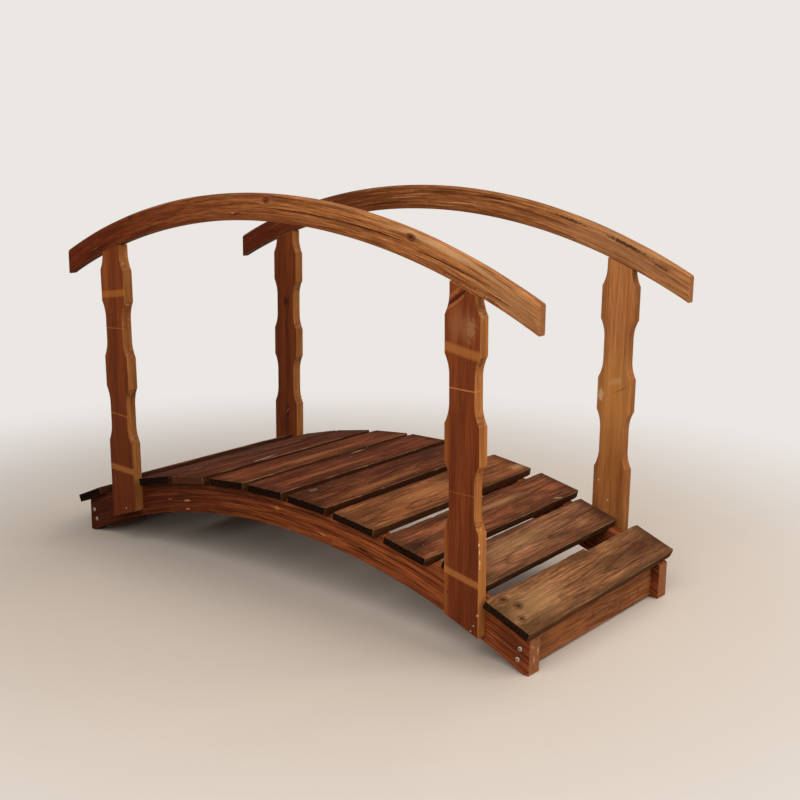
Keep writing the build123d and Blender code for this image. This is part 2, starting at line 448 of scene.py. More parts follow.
def draw_rubbing(tree, colour, look, place, faces, crumbs, scuffs):
    """Lays rubbed arrises, sawn ends, and pale specks of dust and splinters over a colour."""
    share = rubbed_arrises(tree, faces, crumbs, scuffs, look["arris_show"])
    colour = add(tree, MIX, {0: share, 6: colour, 7: look["worn"]}, **COLOURS)
    end = add(tree, RANGE, (faces[0], *END_FACING, 0, look["end_show"]), **SMOOTH)
    patchy = add(tree, RANGE, (crumbs, *END_LEVELS, 0.6, 1), **SMOOTH)
    share = add(tree, MATH, (end, patchy), operation="MULTIPLY")
    colour = add(tree, MIX, {0: share, 6: colour, 7: look["end"]}, **COLOURS)
    if look["specks"]:
        dot = add(tree, "ShaderNodeTexVoronoi", {"Vector": place, "Scale": 1 / (look["specks"] * MM)})
        radii = [radius / look["specks"] for radius in SPECK_RADII]
        share = add(tree, RANGE, (dot.outputs["Distance"], *radii, 0.7, 0), **SMOOTH)
        colour = add(tree, MIX, {0: share, 6: colour, 7: linear(DUST)}, **COLOURS)
    return colour


LONG_MARK = 20  # length in widths past which a mark follows the fibres
SOFT_MARK = 0.6  # softness past which a mark's rim is cloudy and not crumbly


def draw_marks(tree, colour, marks, place, fibre_place, patches, crumbs):
    """Lays stains, scratches, bare bands, chips and nail marks over a colour, at their own places."""
    for mark in marks:
        follows_fibres = mark.reach[0] > LONG_MARK * mark.reach[1]
        mark_place = fibre_place if follows_fibres else place
        far = spot_distance(tree, mark_place, mark.middle, mark.reach, mark.turn)
        pattern = patches if mark.soft > SOFT_MARK else crumbs
        uneven = add(tree, MATH, (pattern, 2 * mark.ragged, -mark.ragged), operation="MULTIPLY_ADD")
        rim = add(tree, MATH, (far, uneven), operation="ADD")
        share = add(tree, RANGE, (rim, 1 - mark.soft, 1, mark.strength, 0), **SMOOTH)
        colour = add(tree, MIX, {0: share, 6: colour, 7: linear(mark.colour)}, **COLOURS)
    return colour


def draw_knots(tree, colour, knots, stain, place, crumbs):
    """Lays knots over a colour: a red-brown eye, a dark rim inside it and a dark core."""
    core = linear(KNOT_CORE)
    # Inner and outer radius in knot sizes, colour and strength of each layer
    layers = ((0.0, 1.5, stain, 0.45), (0.85, 1.2, core, 0.35), (0.0, 0.7, core, 0.8))
    for knot in knots:
        far = spot_distance(tree, place, knot.middle, [knot.size * share for share in KNOT_SHARES])
        uneven = add(tree, MATH, (crumbs, 2 * KNOT_RAGGED, -KNOT_RAGGED), operation="MULTIPLY_ADD")
        rim = add(tree, MATH, (far, uneven), operation="ADD")
        for inner, outer, eye, strength in layers:
            share = add(tree, RANGE, (rim, outer - 0.3, outer, strength, 0), **SMOOTH)
            if inner:
                hollow = add(tree, RANGE, (rim, inner - 0.2, inner), **SMOOTH)
                share = add(tree, MATH, (share, hollow), operation="MULTIPLY")
            colour = add(tree, MIX, {0: share, 6: colour, 7: eye}, **COLOURS)
    return colour


def pine(name, look, grain, marks=(), knots=()):
    """Pine with growth rings, fibre streaks, stain, wear, knots and marks.

    Sawn softwood shows pale early wood with darker late-wood lines along the grain. A thin
    oil stain sinks deeper into some fibres, stays thin on sawn edges and wears off arrises,
    so the eye sees soft dark streaks, pale rubbed edges and a dull satin surface.
    """
    material, tree, shader = new_material(name)
    seed = look["seed"]
    place, directions = grain(tree)
    bent = bend_round_knots(tree, place, knots)
    fibre_place = wandering(tree, bent, look)
    late = late_wood(tree, fibre_place, look)
    fibres = cloudy(tree, fibre_place, look["fibre"], seed + 1.7, 4, 0.62)
    patches = cloudy(tree, fibre_place, look["blotch"], seed + 7.3, 5, 0.6)
    scuffs = cloudy(tree, fibre_place, look["wear"], seed - 4.1, 6, 0.66)
    crumbs = cloudy(tree, place, CRUMB_SIZES, seed + 5.9, 4, 0.65)
    level = WEAR_LEVEL - SHARE_DROP * look["wear_share"]
    bare = add(tree, RANGE, (scuffs, level, level + WEAR_RISE), **SMOOTH)
    faces = facing(tree, directions)
    end_face, _, flat_face = faces

    # From the wood outward: sawn edges, stain, wear, marks, knots, and what rubbing and dust did last
    ground, colour = ground_wood(tree, look, place, bent, late)
    sawn = sawn_edges(tree, look, place, ground, crumbs, end_face)
    share = add(tree, RANGE, (flat_face, *FLAT_FACING, look["edge_show"], 0), **SMOOTH)
    colour = add(tree, MIX, {0: share, 6: colour, 7: sawn}, **COLOURS)
    colour = draw_stain(tree, colour, look, place, fibre_place, fibres, patches)
    share = add(tree, MATH, (bare, look["wear_show"]), operation="MULTIPLY")
    colour = add(tree, MIX, {0: share, 6: colour, 7: look["worn"]}, **COLOURS)
    colour = draw_marks(tree, colour, marks, place, fibre_place, patches, crumbs)
    colour = draw_knots(tree, colour, knots, look["stain"], place, crumbs)
    colour = draw_rubbing(tree, colour, look, place, faces, crumbs, scuffs)
    tree.links.new(colour.outputs[2], shader.inputs["Base Color"])

    # Satin where the stain lies, dull where it wore off
    rough = add(tree, RANGE, {0: bare, 3: look["rough"], 4: min(1.0, look["rough"] + WORN_ROUGHNESS)})
    tree.links.new(rough.outputs[0], shader.inputs["Roughness"])
    shader.inputs["IOR"].default_value = PINE_IOR
    shader.inputs["Specular IOR Level"].default_value = look["gloss"]

    # Open grain
    relief = add(tree, MIX, {0: LATE_RELIEF, 2: fibres, 3: late})
    inputs = {"Height": relief, "Strength": look["relief"], "Distance": GRAIN_DEPTH * MM}
    tree.links.new(add(tree, "ShaderNodeBump", inputs).outputs[0], shader.inputs["Normal"])
    return material


WELD_GAP = 0.02 * MM
FLAT_ANGLE = math.radians(0.3)  # between facets that are one face
SHARP_ANGLE = math.radians(35)  # past which an edge is eased
EASE_STEPS = 3
FLAT_WEIGHT = 80  # of the large faces in the shading


def shade_evenly(timber):
    """Keeps large faces flat to the eye beside rounded edges."""
    timber.modifiers.new("even shading", "WEIGHTED_NORMAL").weight = FLAT_WEIGHT


def dress(node, material, edge_round):
    """Gives a timber its wood and eases its edges."""
    timber = NODES[node]
    timber.data.materials.clear()
    timber.data.materials.append(material)
    weld = timber.modifiers.new("joined corners", "WELD")
    weld.merge_threshold = WELD_GAP
    flat = timber.modifiers.new("whole faces", "DECIMATE")
    flat.decimate_type = "DISSOLVE"
    flat.angle_limit = FLAT_ANGLE
    ease = timber.modifiers.new("eased edges", "BEVEL")
    ease.width = edge_round
    ease.segments = EASE_STEPS
    ease.limit_method = "ANGLE"
    ease.angle_limit = SHARP_ANGLE
    shade_evenly(timber)


def lofted(name, rows):
    """Smooth mesh through rings of points, closed at both ends."""
    count = len(rows[0])
    last = len(rows) * count
    faces = [tuple(range(count)), tuple(range(last - count, last))]
    for start in range(0, last - count, count):
        for i in range(count):
            j = (i + 1) % count
            faces.append((start + i, start + j, start + count + j, start + count + i))
    mesh = bpy.data.meshes.new(name)
    mesh.from_pydata([point for row in rows for point in row], [], faces)
    shape = bmesh.new()
    shape.from_mesh(mesh)
    bmesh.ops.recalc_face_normals(shape, faces=shape.faces)
    for polygon in shape.faces:
        polygon.smooth = True
    shape.to_mesh(mesh)
    shape.free()
    return mesh


def stand_in(name, mesh, material, node):
    """Puts a worn mesh in the place of a plain timber."""
    mesh.materials.append(material)
    timber = bpy.data.objects.new(name, mesh)
    bpy.context.scene.collection.objects.link(timber)
    shade_evenly(timber)
    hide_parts(node)
    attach(timber, "root")


# Sizes in millimetres: wander, fibre, tone, blotch, wear and grit give patch sizes along, across and
# through the timber, pith lies this far across and through, and specks lie this far apart. Lean is in
# degrees. A show is the strength of an effect, and a share is how much of the surface it takes.
# Real pine rings lie 2 to 5 mm apart and are drawn wider so that they show.
RAIL_LOOK = {
    "wander": (420, 60, 60), "sway": 9, "pith": (70, 90), "lean": (1.2, 1.5), "ring": 7, "ring_wobble": 4,
    "fibre": (170, 3, 3), "tone": (260, 14, 20), "blotch": (150, 9, 12), "wear": (110, 4, 5),
    "grit": (38, 2.6, 3), "late": 0.55, "ring_show": 0.35, "tone_show": 0.4, "fibre_show": 0.6,
    "grit_show": 0.6, "blotch_share": 0.3, "blotch_show": 0.55, "blotch_soft": 0.06, "wear_share": 0.28,
    "wear_show": 0.5, "arris_show": 0.25, "edge_show": 0.0, "end_show": 0.7, "specks": 0, "rough": 0.62,
    "gloss": 0.05, "relief": 0.35, "streak": linear("#8a6248"),
}
POST_LOOK = dict(
    RAIL_LOOK, pith=(30, 70), tone=(360, 26, 24), fibre=(220, 4, 4), grit=(60, 3, 3), ring_show=0.15,
    tone_show=0.5, fibre_show=0.25, grit_show=0.35, blotch=(300, 20, 16), blotch_share=0.25, blotch_show=0.35,
    blotch_soft=0.12, wear_share=0.05, wear_show=0.3, edge_show=1.0, specks=44,
)
HONEY_LOOK = dict(POST_LOOK, tone=(240, 28, 20), ring_show=0.1)
ARCH_LOOK = dict(
    RAIL_LOOK, pith=(-60, 60), tone=(420, 13, 16), blotch=(220, 7, 12), grit=(50, 2.8, 3), blotch_share=0.35,
    blotch_show=0.65, wear_share=0.2, wear_show=0.4, specks=60,
)
CROSSBAR_LOOK = dict(ARCH_LOOK, blotch_show=0.35, fibre_show=0.3, tone=(160, 30, 20))
BOARD_LOOK = dict(
    RAIL_LOOK, pith=(20, -60), lean=(2.0, 1.5), ring_wobble=3, late=0.6, tone=(240, 36, 36),
    fibre=(150, 2.6, 3), blotch=(190, 34, 34), blotch_soft=0.1, wear=(90, 5, 5), grit=(34, 2.6, 3),
    ring_show=0.6, fibre_show=0.7, blotch_share=0.4, blotch_show=0.65, wear_share=0.35, arris_show=0.5,
    edge_show=0.9, end_show=1.0, specks=30, rough=0.8, gloss=0.02, relief=0.5,
)

RAIL_RISE = 170 * MM
RAIL_DEPTH = 60 * MM  # at the crown
RAIL_STATIONS = 120
RAIL_CORNER_STEPS = 6
RAIL_END_EASE = 1.5 * MM
RAIL_WEAR_LENGTH = 90 * MM
RAIL_WEAR_DEPTH = 0.3 * MM  # of the sides, on average
RAIL_ROUND_SWING = 0.3  # of the upper rounding, up and down
FIRST_RING_SHARE = 0.3  # of an end's easing, from the end to the next ring


def worn_rail(name, node, upper_round, lower_round, seed):
    """Mesh of an arched rail: upper edges well rounded by hands and weather, lower ones less so."""
    low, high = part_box(node)
    middle, half = (low.x + high.x) / 2, (high.x - low.x) / 2
    (_, upper_centre), upper_radius = arc_of(node, RAIL_RISE)
    under_crown = high.z - RAIL_DEPTH
    under_rise = under_crown - low.z
    under_radius = (half**2 + under_rise**2) / (2 * under_rise)
    inner = half - RAIL_END_EASE
    next_to_end = half - FIRST_RING_SHARE * RAIL_END_EASE
    stations = [-half, -next_to_end, next_to_end, half]
    stations += [-inner + 2 * inner * i / RAIL_STATIONS for i in range(RAIL_STATIONS + 1)]
    rows = []
    for station in sorted(stations):
        to_end = min(RAIL_END_EASE, half - abs(station))
        inset = RAIL_END_EASE - math.sqrt(RAIL_END_EASE**2 - (RAIL_END_EASE - to_end) ** 2)
        spot = station / RAIL_WEAR_LENGTH
        wear = [noise.noise(Vector((spot, seed * 2.7 + side, 1.5))) for side in range(4)]
        front = low.y + inset + RAIL_WEAR_DEPTH * (1 + wear[0])
        back = high.y - inset - RAIL_WEAR_DEPTH * (1 + wear[1])
        top = upper_centre + math.sqrt(upper_radius**2 - station**2) - inset
        bottom = under_crown - under_radius + math.sqrt(under_radius**2 - station**2) + inset
        fore, rear = (upper_round * (1 + RAIL_ROUND_SWING * wear[side]) for side in (2, 3))
        corners = (
            (front + lower_round, bottom + lower_round, lower_round),
            (back - lower_round, bottom + lower_round, lower_round),
            (back - rear, top - rear, rear),
            (front + fore, top - fore, fore),
        )
        row = []
        for quarter, (y, z, corner) in enumerate(corners, start=2):
            for i in range(RAIL_CORNER_STEPS + 1):
                angle = math.pi / 2 * (quarter + i / RAIL_CORNER_STEPS)
                row.append((middle + station, y + corner * math.cos(angle), z + corner * math.sin(angle)))
        rows.append(row)
    return lofted(name, rows)


# Places in millimetres: along the arch from its crown, outward from mid depth, back from mid thickness
RAIL_FACE = -11.5  # the front
CRACK = "#2c120a"
RAIL_MARKS = {
    "front_handrail": (
        # Darker lower half and paler upper edge
        Mark((0, -26, RAIL_FACE), (900, 15, 30), "#713c1e", 0.55, 0, 0.5, 0.9),
        Mark((500, 21, RAIL_FACE), (260, 9, 16), "#d3ab7d", 0.6, 0, 0.5, 0.9),
        Mark((690, 0, RAIL_FACE), (140, 36, 14), "#b98c60", 0.4, 0, 0.5, 0.95),
        # Dark stain towards the left end
        Mark((-640, -18, RAIL_FACE), (90, 10, 10), "#33130b", 0.65, 2, 0.8, 0.8),
        Mark((-560, 12, RAIL_FACE), (110, 8, 10), "#3a170d", 0.55, -1, 0.8, 0.8),
        Mark((-430, -22, RAIL_FACE), (120, 7, 10), "#3f190d", 0.6, 1, 0.8, 0.8),
        Mark((-250, -25, RAIL_FACE), (110, 6, 10), "#4a1f10", 0.55, 0, 0.8, 0.8),
        # Long crack along the middle
        Mark((110, -1, RAIL_FACE), (150, 1.5, 5), CRACK, 0.8, 0, 0.3, 0.4),
        Mark((330, 0.5, RAIL_FACE), (140, 1.7, 5), CRACK, 0.9, 0.6, 0.3, 0.4),
        Mark((520, -3, RAIL_FACE), (120, 1.8, 5), CRACK, 0.95, 1.8, 0.3, 0.4),
        Mark((655, -10, RAIL_FACE), (45, 1.6, 5), CRACK, 0.9, 1.0, 0.4, 0.4),
        Mark((400, 7, RAIL_FACE), (60, 1.2, 5), CRACK, 0.7, 1.0, 0.3, 0.4),
        Mark((610, 3, RAIL_FACE), (60, 1.2, 5), CRACK, 0.7, 0.5, 0.3, 0.4),
        # Dark flecks below it
        Mark((560, -19, RAIL_FACE), (60, 4, 6), "#5d3018", 0.7, 0, 1.1, 0.5),
        Mark((640, -21, RAIL_FACE), (22, 4, 6), "#5d3018", 0.7, 0, 1.1, 0.5),
        Mark((200, -21, RAIL_FACE), (70, 3, 6), "#56290f", 0.7, 2, 0.9, 0.5),
        Mark((330, -23, RAIL_FACE), (40, 3, 6), "#56290f", 0.6, 2, 1.0, 0.5),
        Mark((-96, -16, RAIL_FACE), (24, 3, 5), "#4a2110", 0.8, 4, 0.8),
        Mark((-104, -14, RAIL_FACE), (6, 1.5, 5), "#c9a781", 0.55, 0, 0.9),
    ),
    "back_handrail": (
        Mark((0, -26, RAIL_FACE), (900, 13, 30), "#5f3018", 0.5, 0, 0.6, 0.9),
        Mark((-150, -14, RAIL_FACE), (110, 4, 6), "#3d1b10", 0.7, 0, 0.8, 0.6),
        Mark((-10, 14, RAIL_FACE), (90, 5, 6), "#3d1b10", 0.6, 0, 0.8, 0.6),
        Mark((-103, 0, RAIL_FACE), (70, 2.4, 5), "#c08a5a", 0.7, 2, 0.9, 0.6),
        Mark((-60, 8, RAIL_FACE), (60, 2.2, 5), "#c08a5a", 0.7, 2, 0.9, 0.6),
        Mark((80, -8, RAIL_FACE), (70, 2.4, 5), "#c08a5a", 0.7, 3, 0.9, 0.6),
        Mark((40, -18, RAIL_FACE), (60, 2.0, 5), "#c08a5a", 0.6, 2, 0.9, 0.6),
        # Painted light on the right half, a paler upper edge, and dark flecks under it
        Mark((560, 0, RAIL_FACE), (330, 42, 16), "#bd8d64", 0.33, 0, 0.5, 0.95),
        Mark((560, 24, RAIL_FACE), (240, 7, 16), "#c99a68", 0.5, 0, 0.5, 0.9),
        Mark((175, 17, RAIL_FACE), (60, 4, 5), "#4a2412", 0.85, 0, 1.2, 0.5),
        Mark((400, 17, RAIL_FACE), (60, 3.5, 5), "#4a2412", 0.85, 0, 1.2, 0.5),
        Mark((570, 17, RAIL_FACE), (70, 4.5, 5), "#43200f", 0.9, 0, 1.2, 0.5),
        Mark((665, 10, RAIL_FACE), (30, 4, 5), "#4a2412", 0.75, 0, 1.2, 0.5),
    ),
}
RAIL_KNOTS = {
    "front_handrail": (
        Knot((3.7, 16, RAIL_FACE), 7),
        Knot((415, 15.7, RAIL_FACE), 7),
        Knot((-468, 23, RAIL_FACE), 6),
    ),
}
# Where the stain towards the left end is full and where it ends, its strength and colour
RAIL_FADES = {
    "front_handrail": (-730, 430, 1.0, "#732d11"),
    "back_handrail": (-730, 480, 1.0, "#6a2d17"),
}


class MOONBRIDGE_OT_handrails(bpy.types.Operator):
    """Oiled pine on the two arched handrails, their upper edges worn round"""

    bl_idname = "moonbridge.handrails"
    bl_label = "Dress Handrails"

    def execute(self, context):
        finish = context.scene.moon_bridge_finish
        sizes = context.scene.moon_bridge_sizes
        for seed, node in enumerate(RAIL_MARKS):
            look = dict(RAIL_LOOK, pale=finish.rail_pale, dark=finish.rail_dark, seed=seed * 3.7 + 0.6)
            look.update(edge_pale=finish.rail_pale, edge_dark=finish.rail_dark, fade=RAIL_FADES[node])
            look.update(stain=linear("#552a12"), worn=linear("#c69a68"), end=finish.end_grain)
            grain = partial(arched_grain, node=node, rise=RAIL_RISE, offset=RAIL_DEPTH / 2)
            wood = pine("oiled_pine_" + node, look, grain, RAIL_MARKS[node], RAIL_KNOTS.get(node, ()))
            name = "worn_" + node
            mesh = worn_rail(name, node, sizes.rail_round, sizes.rail_under_round, seed)
            stand_in(name, mesh, wood, node)
        return {"FINISHED"}


POST_LEAN = math.radians(1.2)  # of the front posts, about their heads under the handrail
POST_HEAD_HEIGHT = 750 * MM
POST_MIDDLE, POST_REACH = 11.45 * MM, 536 * MM  # midway between the posts, and from there to their heads
# Places in millimetres: up from the floor, across from the post's middle line, back from mid thickness
POST_FACE = -14  # the front
BAND = "#b0713a"
CHIP = "#dcc4a6"
POST_MARKS = {
    "front_left_post": (
        Mark((700, -25, POST_FACE), (120, 14, 6), "#a0602e", 0.5, 0, 0.4, 0.9),
        Mark((653, 0, POST_FACE), (11, 300, 6), "#a9692f", 0.6, -7, 0.35, 0.5),
        Mark((567, 0, POST_FACE), (1.6, 300, 6), BAND, 0.4, -2.5, 0.6, 0.5),
        Mark((347, 3, POST_FACE), (2.2, 300, 6), BAND, 0.45, 4, 0.5, 0.5),
        Mark((205.5, 4, POST_FACE), (10, 300, 6), BAND, 0.5, 3, 0.35, 0.5),
        Mark((597, 40, -1), (40, 20, 14), "#6a3818", 0.5, 0, 1.2),
        Mark((628, 40, -1), (3, 4, 8), "#b98c60", 0.6, 30, 0.7),
        Mark((103, 10, POST_FACE), (1.8, 1.8, 4), CHIP, 0.8, 0, 0.2),
    ),
    "front_right_post": (
        Mark((300, -40, POST_FACE), (480, 11, 6), "#9a5a2b", 0.55, 0, 0.5, 0.8),
        Mark((690, 0, POST_FACE), (48, 44, 6), "#9a6b45", 0.4, 0, 1.0, 0.9),
        Mark((684, 22, POST_FACE), (26, 12, 6), "#b08257", 0.35, 0, 1.9, 0.6),
        Mark((641, -3, POST_FACE), (13, 300, 6), BAND, 0.5, 10, 0.3, 0.6),
        Mark((565, -2, POST_FACE), (1.8, 300, 40), "#bd8149", 0.6, 2.6, 0.5, 0.5),
        Mark((354, -2, POST_FACE), (1.6, 300, 6), BAND, 0.22, 0.7, 0.8, 0.5),
        Mark((180.5, -2, POST_FACE), (10, 300, 6), BAND, 0.55, 13, 0.3, 0.6),
        Mark((752, -20, POST_FACE), (4, 24, 8), "#a5683a", 0.5, -36, 0.7),
        Mark((735, -16, POST_FACE), (4, 30, 8), "#a5683a", 0.5, -36, 0.7),
        Mark((744, -13, POST_FACE), (4.5, 30, 8), "#3c180d", 0.9, -36, 0.4),
        Mark((716, 42, -6), (20, 5, 6), "#caa070", 0.4, 0, 1.5),
        # Painted shade on the sawn edge under the handrail
        Mark((738, 40, 2), (34, 12, 16), "#43200f", 0.75, 0, 0.5, 0.8),
        Mark((256, 43, -12), (4, 4, 2.4), CHIP, 0.85, 0, 0.9),
        Mark((240, 43, -10), (6, 4, 2.2), CHIP, 0.8, 0, 1.0),
        Mark((218, 43, -9), (7, 4, 2.0), CHIP, 0.85, 0, 0.9),
        Mark((207, 43, -9), (3, 4, 2.0), CHIP, 0.8, 0, 0.7),
        Mark((108, 42, POST_FACE), (2.4, 2.4, 3), CHIP, 0.75, 0, 0.5),
        Mark((84, 32.5, POST_FACE), (2, 2, 4), CHIP, 0.6, 0, 0.4),
        Mark((71, 25, POST_FACE), (2, 2, 4), CHIP, 0.6, 0, 0.4),
        Mark((141, -33, POST_FACE), (2.4, 2, 4), "#1c0d08", 0.95, 0, 0.2),
    ),
    "back_left_post": (
        Mark((500, 5, POST_FACE), (75, 3.5, 8), "#34160e", 0.65, 0, 0.6, 0.5),
        Mark((253, 8, POST_FACE), (26, 8, 8), "#34180f", 0.7, 0, 0.8, 0.6),
        Mark((253, 7, POST_FACE), (7, 2, 4), "#a8805a", 0.6, 20, 0.9),
        Mark((215, 0, POST_FACE), (40, 30, 8), "#3d1d12", 0.5, 0, 0.8, 0.9),
    ),
    "back_right_post": (
        # Painted light: a pale middle that lightens a shadow cast on this post
        Mark((440, 0, POST_FACE), (200, 80, 8), "#dc9a54", 0.5, 0, 0.2, 1.0),
        Mark((500, 12, POST_FACE), (260, 12, 6), "#96561f", 0.2, 0, 0.6, 0.9),
        # Painted shade on the sawn edge under the handrail
        Mark((742, 40, 2), (22, 10, 16), "#4f2812", 0.7, 0, 0.5, 0.8),
        Mark((487, 4, POST_FACE), (12, 24, 6), "#cda06c", 0.5, -25, 1.2, 0.7),
        Mark((470, 20, POST_FACE), (3, 26, 6), "#7d4a20", 0.5, -30, 0.6, 0.6),
        Mark((452, -33, POST_FACE), (16, 7, 6), "#dcbf98", 0.55, 0, 1.6),
        Mark((243, -28, POST_FACE), (2.2, 2.2, 4), CHIP, 0.85, 0, 0.2),
        Mark((198, -1, POST_FACE), (2.2, 2.2, 4), CHIP, 0.85, 0, 0.2),
    ),
}
POST_KNOTS = {"back_left_post": (Knot((571, 3.4, POST_FACE), 9),)}
# Brightness of the sawn edges, and strength of the stain towards the foot
POST_EDGE_SHARES = {
    "front_left_post": 0.78, "front_right_post": 1.2, "back_left_post": 0.8, "back_right_post": 0.9,
}
POST_FADE_SHARES = {
    "front_left_post": 0.5, "front_right_post": 0.3, "back_left_post": 0.1, "back_right_post": 0.25,
}
POST_FADE_HEIGHTS = (60, 720)
HONEY_POST = "back_right_post"


class MOONBRIDGE_OT_posts(bpy.types.Operator):
    """Stained pine on the four scalloped posts"""

    bl_idname = "moonbridge.posts"
    bl_label = "Dress Posts"

    def execute(self, context):
        finish = context.scene.moon_bridge_finish
        sizes = context.scene.moon_bridge_sizes
        for seed, node in enumerate(POST_MARKS):
            low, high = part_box(node)
            lean = POST_LEAN if node.startswith("front") else 0
            along = Vector((-math.sin(lean), 0, math.cos(lean)))
            across = Vector((math.cos(lean), 0, math.sin(lean)))
            side = -POST_REACH if "left" in node else POST_REACH
            head = Vector((POST_MIDDLE + side, (low.y + high.y) / 2, POST_HEAD_HEIGHT))
            origin = head - along * POST_HEAD_HEIGHT
            if node == HONEY_POST:
                look = dict(HONEY_LOOK, pale=finish.honey_pale, dark=finish.honey_dark)
                deep_stain = "#95531f"
            else:
                look = dict(POST_LOOK, pale=finish.post_pale, dark=finish.post_dark)
                deep_stain = "#50210e"
            for name in ("edge_pale", "edge_dark"):
                look[name] = shade(getattr(finish, name), POST_EDGE_SHARES[node])
            look.update(stain=linear("#431d10"), worn=linear("#c08a58"), end=finish.end_grain)
            look.update(seed=seed * 2.9 + 0.3, fade=(*POST_FADE_HEIGHTS, POST_FADE_SHARES[node], deep_stain))
            grain = partial(straight_grain, origin=origin, axes=(along, across, along.cross(across)))
            wood = pine("stained_pine_" + node, look, grain, POST_MARKS[node], POST_KNOTS.get(node, ()))
            dress(node, wood, sizes.post_round)
        return {"FINISHED"}


ARCH_RISE = 151 * MM
ARCH_FADE = (-720, 350, 0.9, "#481c0d")  # as on the rails
# Places in millimetres: along the arch from its crown, outward from its upper edge, back from mid thickness
ARCH_FACE = -19  # the front
ARCH_MARKS = {
    "front_stringer": (
        Mark((-320, -45, ARCH_FACE), (14, 3.5, 6), "#b5824f", 0.65, 0, 0.8),
        Mark((-321, -66, ARCH_FACE), (10, 3, 6), "#b5824f", 0.6, 0, 0.8),
        Mark((-386, -41, ARCH_FACE), (9, 3, 6), "#8a552c", 0.5, 0, 0.8),
        Mark((2, -28, ARCH_FACE), (10, 5, 6), "#b0702e", 0.7, 0, 0.8),
        Mark((150, -54, ARCH_FACE), (9, 4, 6), "#a86a35", 0.65, 0, 0.8),
        Mark((18.6, -39, ARCH_FACE), (9, 1.8, 6), "#1c0d08", 0.9, -10, 0.4),
        Mark((90, -50, ARCH_FACE), (50, 2.5, 6), "#34150b", 0.6, -3, 0.9, 0.6),
        Mark((273, -48, ARCH_FACE), (16, 4, 6), "#2a120a", 0.7, 0, 0.9),
        # Painted shadow with some dirt along the top under the boards' ends, and a groove below it
        Mark((0, 0, ARCH_FACE), (900, 9, 10), "#1f0e08", 0.7, 0, 0.5, 0.9),
        Mark((-290, -15, ARCH_FACE), (230, 1.4, 6), "#241009", 0.75, 0, 0.4),
        Mark((20, -16, ARCH_FACE), (120, 1.1, 6), "#2e140b", 0.6, 0, 0.5),
        # Darker right end, and chips on its sawn face
        Mark((690, -40, ARCH_FACE), (70, 44, 10), "#481f10", 0.5, 0, 0.5, 0.9),
        Mark((733, -20, -8), (12, 3, 4), "#d9c3aa", 0.6, 0, 1.0),
        Mark((737, -32, 12), (12, 8, 4), "#d9c3aa", 0.6, 0, 1.0),
        Mark((743, -47, -2), (12, 9, 4), "#d9c3aa", 0.6, 0, 1.0),
        Mark((735, -52, 13), (12, 6, 3), "#d9c3aa", 0.5, 0, 1.0),
        Mark((752, -72, -14), (10, 4, 5), "#d5bd93", 0.7, 0, 1.0),
    ),
    "back_stringer": (),
}
# Places in millimetres: back, up and to the right from the crossbar's middle
CROSSBAR_FACE = 10  # the outer one, at the right end
SCRATCH = "#33160d"
CROSSBAR_SCRATCHES = (
    Mark((-10, 0, CROSSBAR_FACE), (1.8, 15, 5), SCRATCH, 0.75, 4, 0.7, 0.6),
    Mark((-4, -8, CROSSBAR_FACE), (1.2, 10, 5), SCRATCH, 0.6, -3, 0.7, 0.6),
    Mark((53, 6, CROSSBAR_FACE), (1.6, 8, 5), SCRATCH, 0.7, 3, 0.7, 0.6),
    Mark((109, -15, CROSSBAR_FACE), (2.2, 17, 5), SCRATCH, 0.8, 2, 0.7, 0.6),
    Mark((102, -10, CROSSBAR_FACE), (1.0, 12, 5), "#b98a5c", 0.5, 2, 0.7, 0.6),
    Mark((191, -7, CROSSBAR_FACE), (2.6, 16, 5), SCRATCH, 0.75, 3, 0.7, 0.6),
    Mark((60, -26, CROSSBAR_FACE), (120, 9, 5), "#4a2112", 0.6, -4, 0.7, 0.9),
    Mark((-150, 10, CROSSBAR_FACE), (70, 22, 5), "#a8683a", 0.5, 0, 0.7, 0.9),
)
CROSSBAR_MARKS = {"left_crossbar": (), "right_crossbar": CROSSBAR_SCRATCHES}
CROSSBAR_AXES = (Vector((0, 1, 0)), Vector((0, 0, 1)), Vector((1, 0, 0)))


class MOONBRIDGE_OT_arches(bpy.types.Operator):
    """Stained pine on the arched stringers and their crossbars"""

    bl_idname = "moonbridge.arches"
    bl_label = "Dress Arches"

    def execute(self, context):
        finish = context.scene.moon_bridge_finish
        sizes = context.scene.moon_bridge_sizes
        worn = linear("#b07c4c")
        for seed, node in enumerate(ARCH_MARKS):
            look = dict(ARCH_LOOK, pale=finish.stringer_pale, dark=finish.stringer_dark, fade=ARCH_FADE)
            look.update(edge_pale=finish.stringer_pale, edge_dark=finish.stringer_dark, seed=seed * 4.3 + 0.9)
            look.update(stain=linear("#371509"), worn=worn, end=finish.end_grain)
            grain = partial(arched_grain, node=node, rise=ARCH_RISE, offset=0)
            wood = pine("stained_pine_" + node, look, grain, ARCH_MARKS[node])
            dress(node, wood, sizes.stringer_round)
        for seed, node in enumerate(CROSSBAR_MARKS):
            low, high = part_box(node)
            look = dict(CROSSBAR_LOOK, pale=finish.crossbar_pale, dark=finish.crossbar_dark)
            look.update(edge_pale=finish.crossbar_pale, edge_dark=finish.crossbar_dark, seed=seed * 1.3 + 8.2)
            look.update(stain=linear("#3f1c0f"), worn=worn, end=finish.end_grain)
            grain = partial(straight_grain, origin=(low + high) / 2, axes=CROSSBAR_AXES)
            wood = pine("stained_pine_" + node, look, grain, CROSSBAR_MARKS[node])
            dress(node, wood, sizes.stringer_round)
        return {"FINISHED"}


BOARD_STATIONS = 84
BOARD_LANES = 22
ARRIS_STEPS = 4
BOARD_END_EASE = 2 * MM
END_INSET_SHARE = 0.7  # of the end's easing that the sides take
STEP_RUN = 0.8 * MM  # along the board, over which its edge steps in

